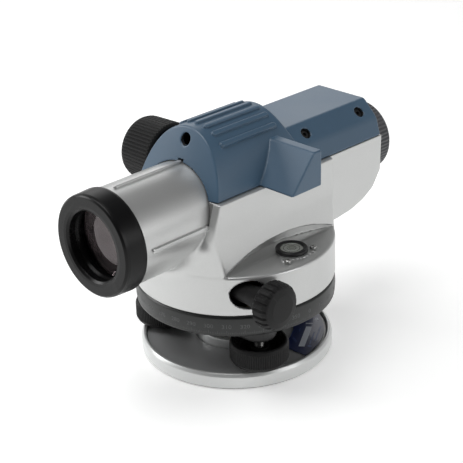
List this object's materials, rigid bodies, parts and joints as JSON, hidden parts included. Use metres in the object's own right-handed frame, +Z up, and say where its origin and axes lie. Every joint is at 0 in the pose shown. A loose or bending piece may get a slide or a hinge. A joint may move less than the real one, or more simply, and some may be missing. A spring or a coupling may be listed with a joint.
{
  "type": "automatic level",
  "caption": "Surveyor's automatic level: telescope in a rotating housing with drive, focus and compensator, on a three-screw levelling head.",
  "frame": {"origin": "centre of the base plate's underside, on the tripod screw's axis", "axes": "+Z up along the standing axis; the line of sight runs along -Y with the objective at -Y and the eyepiece at +Y; +X is the side with the round bubble"},
  "size_m": [0.1398, 0.2146, 0.1437],
  "materials": {
    "silver_paint": "fine satin silver paint over a light-alloy casting",
    "blue_paint": "slate blue, finely textured moulding",
    "black_plastic": "satin black moulding",
    "grey_rubber": "dark grey ribbed grip",
    "dark_plate": "dark grey satin sheet metal",
    "steel": "turned steel",
    "brass": "turned brass",
    "glass": "coated optical glass",
    "vial": "pale liquid-filled vial",
    "mirror": "front-silvered mirror",
    "label": "printed foil label with plain blocks"
  },
  "bodies": {
    "base": {"base_plate": "silver_paint", "thread_insert": "brass", "spring_plate": "dark_plate", "base_label": "label"},
    "foot_screw_1": {"foot_knob_1": "black_plastic", "foot_spindle_1": "steel"},
    "foot_screw_2": {"foot_knob_2": "black_plastic", "foot_spindle_2": "steel"},
    "foot_screw_3": {"foot_knob_3": "black_plastic", "foot_spindle_3": "steel"},
    "tribrach": {"tribrach_head": "black_plastic", "bearing_bush": "brass"},
    "circle": {"graduated_circle": "black_plastic"},
    "alidade": {"lower_housing": "silver_paint", "telescope_tube": "silver_paint", "upper_cover": "blue_paint", "bearing_spindle": "steel", "worm_wheel": "brass", "drive_sleeve_right": "black_plastic", "drive_sleeve_left": "black_plastic", "objective_ring": "black_plastic", "objective_lens": "glass", "objective_retainer": "black_plastic", "focus_collar": "black_plastic", "fixed_prism": "glass", "compensator_frame": "dark_plate", "damper_magnet": "steel", "reticle_ring": "brass", "reticle_glass": "glass", "eyepiece_tube": "black_plastic", "eyepiece_lens": "glass", "bubble_ring": "black_plastic", "bubble_vial": "vial", "bubble_screw_1": "steel", "bubble_screw_2": "steel", "bubble_mirror": "mirror", "cover_screw_1": "black_plastic", "cover_screw_2": "black_plastic", "cover_screw_3": "black_plastic", "cover_screw_4": "black_plastic"},
    "drive": {"worm_shaft": "steel", "drive_knob_right": "black_plastic", "drive_knob_left": "black_plastic"},
    "focus": {"focus_knob": "black_plastic", "focus_pinion": "brass"},
    "carriage": {"focus_carriage": "brass", "focusing_lens": "glass"},
    "eyepiece": {"eyepiece_ring": "grey_rubber"},
    "pendulum": {"pendulum": "brass", "pendulum_prism": "glass"}
  },
  "joints": [
    {"name": "foot_screw_1_turn", "type": "hinge", "parent": "base", "child": "foot_screw_1", "pos_m": [0.0383, -0.02062, 0.0105], "axis": [0, 0, 1], "range_deg": [-480.5, 480.5]},
    {"name": "foot_screw_2_turn", "type": "hinge", "parent": "base", "child": "foot_screw_2", "pos_m": [-0.00129, 0.04348, 0.0105], "axis": [0, 0, 1], "range_deg": [-480.5, 480.5]},
    {"name": "foot_screw_3_turn", "type": "hinge", "parent": "base", "child": "foot_screw_3", "pos_m": [-0.03701, -0.02286, 0.0105], "axis": [0, 0, 1], "range_deg": [-480.5, 480.5]},
    {"name": "head_raise", "type": "slide", "parent": "base", "child": "tribrach", "axis": [0, 0, 1], "range_m": [-0.001, 0.001]},
    {"name": "circle_turn", "type": "hinge", "parent": "tribrach", "child": "circle", "pos_m": [0, 0, 0.0355], "axis": [0, 0, 1], "continuous": true},
    {"name": "housing_turn", "type": "hinge", "parent": "tribrach", "child": "alidade", "pos_m": [0, 0, 0.05], "axis": [0, 0, 1], "continuous": true},
    {"name": "drive_turn", "type": "hinge", "parent": "alidade", "child": "drive", "pos_m": [0, -0.0339, 0.0592], "axis": [1, 0, 0], "continuous": true},
    {"name": "focus_turn", "type": "hinge", "parent": "alidade", "child": "focus", "pos_m": [-0.058, -0.0035, 0.105], "axis": [1, 0, 0], "range_deg": [-180.5, 180.5]},
    {"name": "focus_slide", "type": "slide", "parent": "alidade", "child": "carriage", "axis": [0, 1, 0], "range_m": [-0.00785, 0.00785]},
    {"name": "eyepiece_turn", "type": "hinge", "parent": "alidade", "child": "eyepiece", "pos_m": [0, 0.1, 0.097], "axis": [0, 1, 0], "range_deg": [-170, 170]},
    {"name": "pendulum_swing", "type": "hinge", "parent": "alidade", "child": "pendulum", "pos_m": [0, 0.029, 0.1114], "axis": [1, 0, 0], "range_deg": [-0.6, 0.6]}
  ],
  "couplings": [
    {"joint": "foot_screw_1_turn", "follows": "head_raise", "rad_per_m": -8377.6},
    {"joint": "foot_screw_2_turn", "follows": "head_raise", "rad_per_m": -8377.6},
    {"joint": "foot_screw_3_turn", "follows": "head_raise", "rad_per_m": -8377.6},
    {"joint": "focus_turn", "follows": "focus_slide", "rad_per_m": 400}
  ]
}
